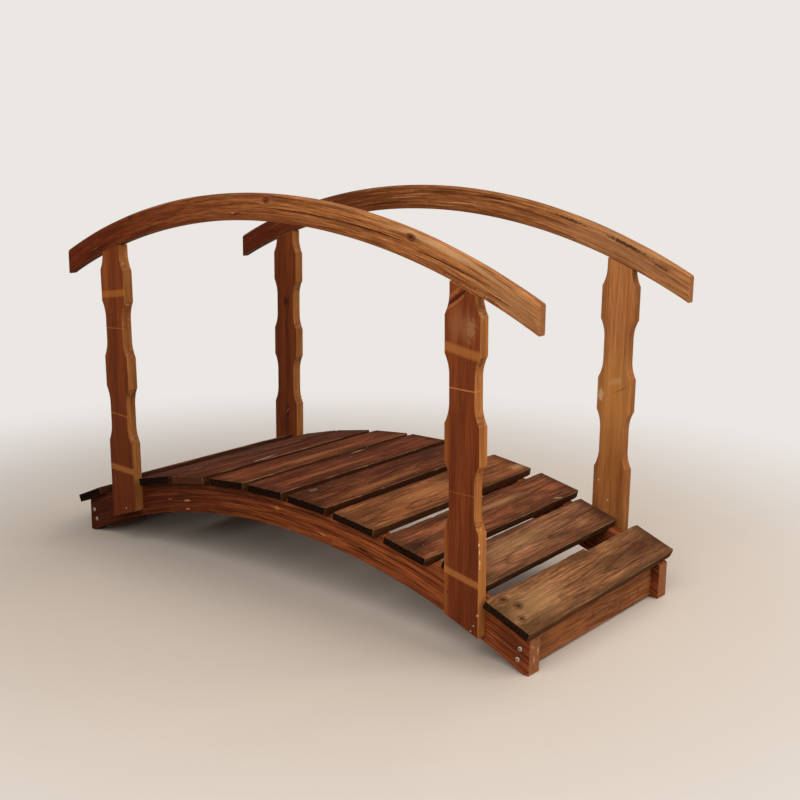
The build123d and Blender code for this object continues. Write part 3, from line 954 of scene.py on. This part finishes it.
# Wear of the boards: lengths of each unevenness, its average depth, and its swing to both sides
SIDE_WAVE, SIDE_NICK = 70 * MM, 18 * MM
SIDE_CUT, SIDE_SWING = 0.5 * MM, 0.7 * MM
CORNER_REACH = 24 * MM
CORNER_CUT, CORNER_SWING = 2.2 * MM, 1.8 * MM
ARRIS_WAVE, ARRIS_SWING = 35 * MM, 0.5  # the swing is a share of the rounding
CHIP_WAVE, CHIP_LEVEL, CHIP_DEPTH = 22 * MM, 0.3, 7 * MM
GROOVE_LENGTH, GROOVE_WIDTH, GROOVE_SWING = 160 * MM, 6 * MM, 0.3 * MM
DISH_LENGTH, DISH_WIDTH, DISH_SWING = 220 * MM, 60 * MM, 0.25 * MM
TOP_CUT = 0.35 * MM
RAGGED_DEPTH, RAGGED_SIZE = 0.7 * MM, 9 * MM


def board_side(side, station, to_end, half_width, edge_round, seed, step):
    """Where a board's left (-1) or right (1) side lies at a station, and the rounding of its arris."""
    shift = 40.0 if side > 0 else 0.0
    wave = noise.noise(Vector((station / SIDE_WAVE, seed * 3.1 + shift, 0.5)))
    nick = noise.noise(Vector((station / SIDE_NICK, seed * 1.7 + shift, 4.5)))
    cut = max(0.0, SIDE_CUT + SIDE_SWING * (wave + 0.5 * nick))
    # Corners knocked off in plan
    to_corner = max(0.0, 1 - to_end / CORNER_REACH)
    knock = noise.noise(Vector((seed * 5.3, shift + 0.4, math.copysign(3.3, station))))
    cut += to_corner**2 * (CORNER_CUT + CORNER_SWING * knock)
    if step and side < 0 and station > step[0]:
        cut += step[1]
    swing = noise.noise(Vector((station / ARRIS_WAVE, seed + shift, 9.5)))
    chip = noise.noise(Vector((station / CHIP_WAVE, seed * 2.3 + shift, 2.5))) - CHIP_LEVEL
    return side * (half_width - cut), edge_round * (1 + ARRIS_SWING * swing) + max(0.0, chip) * CHIP_DEPTH


def board_ring(station, left, left_ease, right, right_ease, half_height, seed):
    """Outline across a board at a station, as places across and heights, from its lower left corner."""
    ring = []
    for i in range(BOARD_LANES + 1):  # underside, left to right
        ring.append((left + (right - left) * i / BOARD_LANES, -half_height))
    for i in range(ARRIS_STEPS + 1):  # right arris
        angle = math.pi / 2 * i / ARRIS_STEPS
        out, down = 1 - math.cos(angle), 1 - math.sin(angle)
        ring.append((right - right_ease * out, half_height - right_ease * down))
    first, last = right - right_ease, left + left_ease
    for i in range(1, BOARD_LANES):  # worn top, right to left
        across = first + (last - first) * i / BOARD_LANES
        groove = noise.noise(Vector((station / GROOVE_LENGTH, across / GROOVE_WIDTH, seed)))
        dish = noise.noise(Vector((station / DISH_LENGTH, across / DISH_WIDTH, seed + 5)))
        ring.append((across, half_height - TOP_CUT - GROOVE_SWING * groove - DISH_SWING * dish))
    for i in range(ARRIS_STEPS + 1):  # left arris
        angle = math.pi / 2 * (1 - i / ARRIS_STEPS)
        out, down = 1 - math.cos(angle), 1 - math.sin(angle)
        ring.append((left + left_ease * out, half_height - left_ease * down))
    return ring


def worn_board(name, halves, seed, edge_round, step):
    """Mesh of a weathered board: rounded uneven arrises, a worn top and slightly ragged ends.

    It lies along, across and down from its middle. halves are half its length, width and thickness.
    step is where its left edge is cut back and how far.
    """
    half_length, half_width, half_height = halves
    inner = half_length - BOARD_END_EASE
    next_to_end = half_length - FIRST_RING_SHARE * BOARD_END_EASE
    stations = [-half_length, -next_to_end, next_to_end, half_length]
    stations += [-inner + 2 * inner * i / BOARD_STATIONS for i in range(BOARD_STATIONS + 1)]
    if step:
        stations += [step[0], step[0] + STEP_RUN]
    rows = []
    for station in sorted(stations):
        to_end = half_length - abs(station)
        from_ease = BOARD_END_EASE - min(to_end, BOARD_END_EASE)
        inset = BOARD_END_EASE - math.sqrt(max(0.0, BOARD_END_EASE**2 - from_ease**2))
        place = (station, to_end, half_width - inset * END_INSET_SHARE)
        left, right = (board_side(side, *place, edge_round, seed, step) for side in (-1, 1))
        ragged = RAGGED_DEPTH if to_end < BOARD_END_EASE / 2 else 0.0
        row = []
        for across, height in board_ring(station, *left, *right, half_height - inset, seed):
            splinter = noise.noise(Vector((across / RAGGED_SIZE, height / RAGGED_SIZE, seed)))
            back = ragged * (0.5 + 0.5 * splinter)
            row.append((station - math.copysign(back, station), across, -height))
        rows.append(row)
    return lofted(name, rows)


# Middle tone of each deck board, from the left end to the right, and its shades
BOARD_TONES = (
    "#633726", "#633726", "#633726", "#653522", "#7f482e", "#713e29", "#6e3f29", "#935d3b", "#8a5538",
    "#946648", "#956845",
)
BOARD_PALE, BOARD_DARK, BOARD_STAIN = 1.4, 0.5, 0.25
# Painted light: board 4's end paler, as if lit, where the other ends are painted dark
BOARD_LIT_END_TONES = {4: "#4a2a1c"}
# Brightness of the sawn sides, which is painted shade: dark in the gaps between boards, light on the last
# board's open side; and of their late wood
BOARD_SIDE_SHADE_SHARES = {9: 0.45, 10: 0.6, 11: 1.1}
GAP_SIDE_SHADE_SHARE = 0.3
SIDE_LATE_SHARE = 0.4
RIM_DEPTH, RIM_STRENGTH = 20 * MM, 0.7  # of the stain gathered at the sides
# Places in millimetres: along the board to the back, across it to the right, and down from its middle
BOARD_TOP = -9
BOARD_KNOTS = {
    11: (Knot((-274, -40, BOARD_TOP), 10), Knot((-258, -12, BOARD_TOP), 9), Knot((-287, 18, BOARD_TOP), 8)),
}
BOARD_MARKS = {
    4: (
        Mark((20, 22, BOARD_TOP), (230, 10, 8), "#29130c", 0.65, 0, 0.7, 0.9),
        Mark((-60, -14, BOARD_TOP), (220, 11, 8), "#84573a", 0.55, 0, 0.7, 0.9),
        Mark((-86, 42, BOARD_TOP), (54, 2.8, 6), "#cbb79c", 0.85, -10, 0.9),
    ),
    5: (
        Mark((30, -38, BOARD_TOP), (240, 12, 8), "#2b140d", 0.65, 0, 0.7, 0.9),
        Mark((-200, 34, BOARD_TOP), (110, 10, 8), "#2b140d", 0.55, 0, 0.7, 0.9),
        Mark((0, 12, BOARD_TOP), (230, 15, 8), "#94633d", 0.6, 0, 0.6, 0.9),
    ),
    6: (
        Mark((60, -44, BOARD_TOP), (230, 12, 8), "#2a130c", 0.6, 0, 0.7, 0.9),
        Mark((78, -50, BOARD_TOP), (26, 4, 6), "#b8966a", 0.45, 0, 1.0),
        Mark((-60, 12, BOARD_TOP), (220, 15, 8), "#8c5935", 0.6, 0, 0.7, 0.9),
        Mark((-190, 44, BOARD_TOP), (130, 10, 8), "#26120c", 0.6, 0, 0.7, 0.9),
    ),
    7: (
        Mark((200, -38, BOARD_TOP), (120, 22, 8), "#2a1716", 0.65, 0, 0.6, 0.9),
        Mark((15, -24, BOARD_TOP), (150, 11, 8), "#341b14", 0.6, 0, 0.7, 0.9),
        Mark((-250, -38, BOARD_TOP), (46, 22, 8), "#2c1812", 0.6, 0, 0.7, 0.9),
        Mark((-246, -42, BOARD_TOP), (16, 8, 6), "#a98a6e", 0.25, 0, 1.6),
        Mark((-80, 30, BOARD_TOP), (200, 16, 8), "#916036", 0.5, 0, 0.6, 0.9),
    ),
    8: (
        Mark((-30, -8, BOARD_TOP), (240, 28, 8), "#9a6a3f", 0.55, 0, 0.5, 1.0),
        Mark((290, 30, BOARD_TOP), (30, 14, 6), "#b2926c", 0.5, 0, 1.4, 0.6),
        Mark((-250, -20, BOARD_TOP), (60, 30, 8), "#4e2b19", 0.5, 0, 0.6, 0.9),
    ),
    9: (
        Mark((-275, 8, BOARD_TOP), (75, 34, 8), "#1d0f0d", 0.75, 0, 0.6, 0.9),
        Mark((-120, -42, BOARD_TOP), (210, 16, 8), "#26130f", 0.65, 0, 0.6, 0.9),
        Mark((170, 42, BOARD_TOP), (220, 18, 8), "#2a1510", 0.45, 0, 0.6, 0.9),
        Mark((250, -44, BOARD_TOP), (110, 15, 8), "#341a12", 0.4, 0, 0.6, 0.9),
        Mark((60, -14, BOARD_TOP), (210, 13, 8), "#9d7550", 0.65, 0, 0.6, 0.9),
        Mark((225, 50, BOARD_TOP), (14, 3, 6), "#c7ab86", 0.6, 20, 0.8),
    ),
    10: (
        Mark((-60, -12, BOARD_TOP), (230, 34, 8), "#a17c53", 0.5, 0, 0.5, 1.0),
        Mark((255, 20, BOARD_TOP), (70, 44, 8), "#472718", 0.55, 0, 0.6, 0.9),
        Mark((60, 44, BOARD_TOP), (260, 12, 8), "#5c3119", 0.5, 0, 0.6, 0.9),
    ),
    11: (
        Mark((-210, 0, BOARD_TOP), (150, 62, 8), "#a37e53", 0.5, 0, 0.5, 1.0),
        Mark((235, 8, BOARD_TOP), (170, 60, 8), "#3a1e12", 0.8, 0, 0.6, 1.0),
        Mark((70, -40, BOARD_TOP), (70, 14, 8), "#43261a", 0.5, 0, 0.6, 0.9),
    ),
}


class MOONBRIDGE_OT_deck(bpy.types.Operator):
    """Weathered pine deck boards with uneven worn edges"""

    bl_idname = "moonbridge.deck"
    bl_label = "Lay Deck"

    def execute(self, context):
        finish = context.scene.moon_bridge_finish
        sizes = context.scene.moon_bridge_sizes
        for number, hex_tone in enumerate(BOARD_TONES, start=1):
            node = f"deck_board_{number:02d}"
            name = f"worn_board_{number:02d}"
            middle, axes, halves, step = board_frame(node)
            mesh = worn_board(name, halves, number, sizes.board_round, step)
            mesh.transform(Matrix.Translation(middle) @ Matrix(axes).transposed().to_4x4())
            tone = linear(hex_tone)
            look = dict(BOARD_LOOK, pale=shade(tone, BOARD_PALE), dark=shade(tone, BOARD_DARK))
            # The ends take near-black painted shade over their dark end grain
            look.update(stain=shade(tone, BOARD_STAIN), worn=finish.board_worn, end=finish.board_end_grain_and_shade)
            # Sides darkened by painted shade in the gaps
            side = shade(finish.board_side, BOARD_SIDE_SHADE_SHARES.get(number, GAP_SIDE_SHADE_SHARE))
            look.update(edge_pale=side, edge_dark=shade(side, SIDE_LATE_SHARE))
            look.update(rim=(halves[0], halves[1], RIM_DEPTH, RIM_STRENGTH), seed=number * 2.3)
            # Board 4's end takes its painted light
            if number in BOARD_LIT_END_TONES:
                look["end"] = linear(BOARD_LIT_END_TONES[number])
            grain = partial(straight_grain, origin=middle, axes=axes)
            marks, knots = BOARD_MARKS.get(number, ()), BOARD_KNOTS.get(number, ())
            wood = pine(f"weathered_pine_{name}", look, grain, marks, knots)
            stand_in(name, mesh, wood, node)
        return {"FINISHED"}


SCREW_RINGS, SCREW_SPOKES = 14, 48
DOME_HEIGHT = 0.9 * MM
DOME_LIFT = 0.15 * MM  # of the rim above the wood
CROSS_DEPTH = 1.6 * MM
CROSS_WIDTH, CROSS_REACH = 0.17, 0.62  # from the middle, in shares of the head's radius
SCREW_SKIRT = 0.4 * MM  # from the rim into the wood
SCREW_TURN = 0.4  # of the cross recess, in radians
# Along the bridge and up from the floor, in millimetres
SCREW_PLACES = {
    "right_upper": (688.5, 53),
    "right_lower": (683.5, 29),
    "left_upper": (-672.6, 57),
    "left_lower": (-663.6, 33),
}


def zinc_plated_steel(colour):
    """Zinc plated steel, tumbled: a pale metal, cloudy and slightly rough."""
    material, tree, shader = new_material("zinc_plated_steel")
    spot = add(tree, "ShaderNodeTexCoord").outputs["Object"]
    dull = cloudy(tree, spot, (1.2, 1.2, 1.2), 2.5, 3, 0.6)
    clouded = add(tree, MIX, {0: dull, 6: colour, 7: linear("#8f8579")}, **COLOURS)
    tree.links.new(clouded.outputs[2], shader.inputs["Base Color"])
    rough = add(tree, RANGE, {0: dull, 3: 0.35, 4: 0.6})
    tree.links.new(rough.outputs[0], shader.inputs["Roughness"])
    shader.inputs["Metallic"].default_value = 0.8
    return material


def screw_head(radius):
    """Mesh of a low dome with a cross recess, facing the front, and a skirt that runs into the wood."""
    points = [(0, CROSS_DEPTH - DOME_HEIGHT - DOME_LIFT, 0)]
    for i in range(1, SCREW_RINGS + 2):
        out = radius * min(i, SCREW_RINGS) / SCREW_RINGS
        for j in range(SCREW_SPOKES):
            turn = math.tau * j / SCREW_SPOKES
            x, z = out * math.cos(turn), out * math.sin(turn)
            height = DOME_LIFT + DOME_HEIGHT * (1 - (out / radius) ** 4)
            if min(abs(x), abs(z)) < CROSS_WIDTH * radius and out < CROSS_REACH * radius:
                height -= CROSS_DEPTH
            if i > SCREW_RINGS:
                height -= SCREW_SKIRT
            points.append((x, -height, z))
    faces = []
    for j in range(SCREW_SPOKES):
        k = (j + 1) % SCREW_SPOKES
        faces.append((0, 1 + j, 1 + k))
        for start in range(1, 1 + SCREW_RINGS * SCREW_SPOKES, SCREW_SPOKES):
            outer = start + SCREW_SPOKES
            faces.append((start + j, outer + j, outer + k, start + k))
    mesh = bpy.data.meshes.new("screw_head")
    mesh.from_pydata(points, [], faces)
    mesh.update()
    return mesh


class MOONBRIDGE_OT_screws(bpy.types.Operator):
    """Countersunk cross-head screws in the ends of the arches"""

    bl_idname = "moonbridge.screws"
    bl_label = "Drive Screws"

    def execute(self, context):
        mesh = screw_head(context.scene.moon_bridge_sizes.screw_head / 2)
        mesh.materials.append(zinc_plated_steel(context.scene.moon_bridge_finish.zinc))
        front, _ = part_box("front_stringer")
        _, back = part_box("back_stringer")
        for name, (x, z) in SCREW_PLACES.items():
            for side, y, turn in (("front", front.y, 0), ("back", back.y, math.pi)):
                screw = bpy.data.objects.new(f"screw_{side}_{name}", mesh)
                screw.location = (x * MM, y, z * MM)
                screw.rotation_euler = (0, SCREW_TURN, turn)
                context.scene.collection.objects.link(screw)
                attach(screw, "root")
        return {"FINISHED"}


# Places and lengths of the stage in metres, angles in degrees
FLOOR_REACH = 40
FADE_RADII = (0.7, 2.1)  # where the floor starts to fade, and where it is all backdrop
LAMP_COLOUR = "#fffaf4"
AMBIENT_COLOUR = "#f6f2ee"
CAMERA_PLACE = (1.92525, -2.20275, 1.06305)
CAMERA_AZIMUTH, CAMERA_PITCH, CAMERA_ROLL = 39.066, 12.593, 0.654
SENSOR_WIDTH = 36  # in millimetres
SIGHT = 100


def matt_floor_paint(stage):
    """Matt floor paint, rolled: one dull tone, which fades into the backdrop far from the object."""
    material, tree, shader = new_material("matt_floor_paint")
    shader.inputs["Base Color"].default_value = stage.floor_colour
    shader.inputs["Roughness"].default_value = 0.9
    shader.inputs["Specular IOR Level"].default_value = 0.1
    spot = add(tree, "ShaderNodeTexCoord").outputs["Object"]
    far = add(tree, VECTOR, (spot,), operation="LENGTH")
    fade = add(tree, RANGE, (far, *FADE_RADII), **SMOOTH)
    share = add(tree, MATH, (fade, sees_backdrop(tree)), operation="MULTIPLY")
    plain = add(tree, "ShaderNodeEmission", {"Color": stage.backdrop, "Strength": 1})
    mixed = add(tree, "ShaderNodeMixShader", (share, shader, plain))
    tree.links.new(mixed.outputs[0], tree.nodes["Material Output"].inputs["Surface"])
    return material


def studio_world(stage):
    """Even light from all round, behind a plain backdrop."""
    world = bpy.data.worlds.new("studio")
    world.use_nodes = True
    tree = world.node_tree
    even = tree.nodes["Background"]
    even.inputs["Color"].default_value = linear(AMBIENT_COLOUR)
    even.inputs["Strength"].default_value = stage.ambient
    backdrop = add(tree, "ShaderNodeBackground", {"Color": stage.backdrop, "Strength": 1})
    mixed = add(tree, "ShaderNodeMixShader", (sees_backdrop(tree), even, backdrop))
    tree.links.new(mixed.outputs[0], tree.nodes["World Output"].inputs["Surface"])
    return world


def soft_lamp(name, power, size, place, aim):
    """Large square lamp that looks from its place at a point."""
    data = bpy.data.lights.new(name, "AREA")
    data.energy = power
    data.size = size
    data.color = linear(LAMP_COLOUR)[:3]
    lamp = bpy.data.objects.new(name, data)
    lamp.location = place
    lamp.rotation_euler = (Vector(aim) - Vector(place)).to_track_quat("-Z", "Y").to_euler()
    return lamp


def photo_camera(lens):
    """Camera at the photograph's viewing angle."""
    data = bpy.data.cameras.new("camera")
    data.lens = lens
    data.sensor_width = SENSOR_WIDTH
    data.clip_end = SIGHT
    camera = bpy.data.objects.new("camera", data)
    azimuth, pitch, roll = (math.radians(angle) for angle in (CAMERA_AZIMUTH, CAMERA_PITCH, CAMERA_ROLL))
    level = Vector((-math.sin(azimuth), math.cos(azimuth), 0))
    right = Vector((math.cos(azimuth), math.sin(azimuth), 0))
    ahead = level * math.cos(pitch) - Vector((0, 0, math.sin(pitch)))
    turn = Matrix((right, right.cross(ahead), -ahead)).transposed() @ Matrix.Rotation(roll, 3, "Z")
    camera.matrix_world = Matrix.Translation(CAMERA_PLACE) @ turn.to_4x4()
    return camera


class MOONBRIDGE_OT_stage(bpy.types.Operator):
    """Pale floor, soft light and the camera"""

    bl_idname = "moonbridge.stage"
    bl_label = "Set Stage"

    def execute(self, context):
        scene = context.scene
        stage = scene.moon_bridge_stage
        scene.view_settings.view_transform = "Standard"
        mesh = bpy.data.meshes.new("floor")
        shape = bmesh.new()
        bmesh.ops.create_grid(shape, x_segments=1, y_segments=1, size=FLOOR_REACH)
        shape.to_mesh(mesh)
        shape.free()
        floor = bpy.data.objects.new("floor", mesh)
        scene.collection.objects.link(floor)
        mesh.materials.append(matt_floor_paint(stage))
        scene.world = studio_world(stage)
        lamps = (
            ("key", stage.key_power, 3.4, (3.0, 0.9, 3.0), (0.15, 0, 0.3)),
            ("fill", stage.fill_power, 3.0, (1.1, -2.9, 2.7), (0.1, 0, 0.3)),
            ("back", stage.back_power, 2.6, (0.1, 3.1, 2.6), (0, 0, 0.3)),
        )
        for lamp in lamps:
            scene.collection.objects.link(soft_lamp(*lamp))
        camera = photo_camera(stage.lens)
        scene.collection.objects.link(camera)
        scene.camera = camera
        return {"FINISHED"}


STEPS = (
    MOONBRIDGE_OT_handrails,
    MOONBRIDGE_OT_posts,
    MOONBRIDGE_OT_arches,
    MOONBRIDGE_OT_deck,
    MOONBRIDGE_OT_screws,
    MOONBRIDGE_OT_stage,
)


class MOONBRIDGE_PT_panel(bpy.types.Panel):
    """Lists the steps that dress the bridge"""

    bl_idname = "MOONBRIDGE_PT_panel"
    bl_label = "Moon Bridge"
    bl_space_type = "VIEW_3D"
    bl_region_type = "UI"
    bl_category = "Moon Bridge"

    def draw(self, context):
        for operator in STEPS:
            self.layout.operator(operator.bl_idname)
        for group in ("moon_bridge_finish", "moon_bridge_sizes", "moon_bridge_stage"):
            settings = getattr(context.scene, group)
            for name in settings.__annotations__:
                self.layout.prop(settings, name)


CLASSES = (MoonBridgeFinish, MoonBridgeSizes, MoonBridgeStage, *STEPS, MOONBRIDGE_PT_panel)


def register():
    for item in CLASSES:
        bpy.utils.register_class(item)
    bpy.types.Scene.moon_bridge_finish = bpy.props.PointerProperty(type=MoonBridgeFinish)
    bpy.types.Scene.moon_bridge_sizes = bpy.props.PointerProperty(type=MoonBridgeSizes)
    bpy.types.Scene.moon_bridge_stage = bpy.props.PointerProperty(type=MoonBridgeStage)


def unregister():
    for name in ("moon_bridge_stage", "moon_bridge_sizes", "moon_bridge_finish"):
        delattr(bpy.types.Scene, name)
    for item in reversed(CLASSES):
        bpy.utils.unregister_class(item)


def main():
    """Dresses the bridge."""
    register()
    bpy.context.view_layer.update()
    bpy.ops.moonbridge.handrails()
    bpy.ops.moonbridge.posts()
    bpy.ops.moonbridge.arches()
    bpy.ops.moonbridge.deck()
    bpy.ops.moonbridge.screws()
    bpy.ops.moonbridge.stage()


if __name__ == "__main__":
    main()
